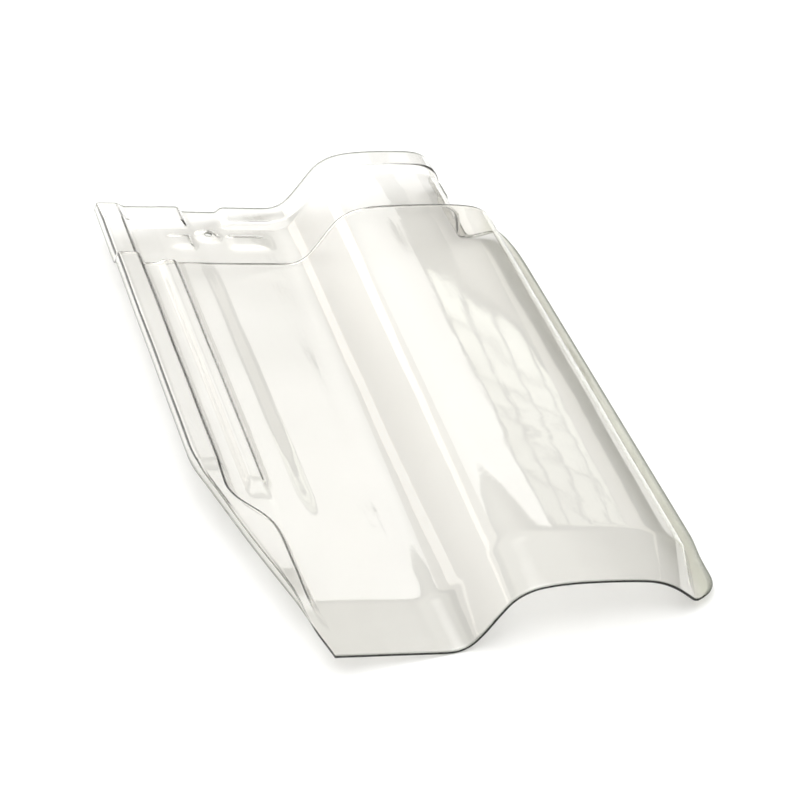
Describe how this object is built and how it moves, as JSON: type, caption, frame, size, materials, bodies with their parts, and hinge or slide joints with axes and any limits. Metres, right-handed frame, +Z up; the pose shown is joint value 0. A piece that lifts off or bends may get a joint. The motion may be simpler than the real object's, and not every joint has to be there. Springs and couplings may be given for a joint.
{
  "type": "roman roof tile",
  "caption": "Clear plastic interlocking roman roof tile: flat pan with side ribs, a tapering roll, a stepped head lap and a fixing hole.",
  "frame": {"origin": "centre of the bounding box's base, on the floor the tile lies on", "axes": "+Y from the foot edge to the head edge; +X across, from the side ribs to the roll; +Z up. The tile lies as it comes to rest, tipped 10.2 degrees towards the roll."},
  "size_m": [0.22, 0.4142, 0.0327],
  "materials": {
    "clear_sheet": "clear moulded sheet, glossy both sides, faint green-grey cast"
  },
  "bodies": {
    "root": {"tile_sheet": "clear_sheet"}
  },
  "joints": []
}
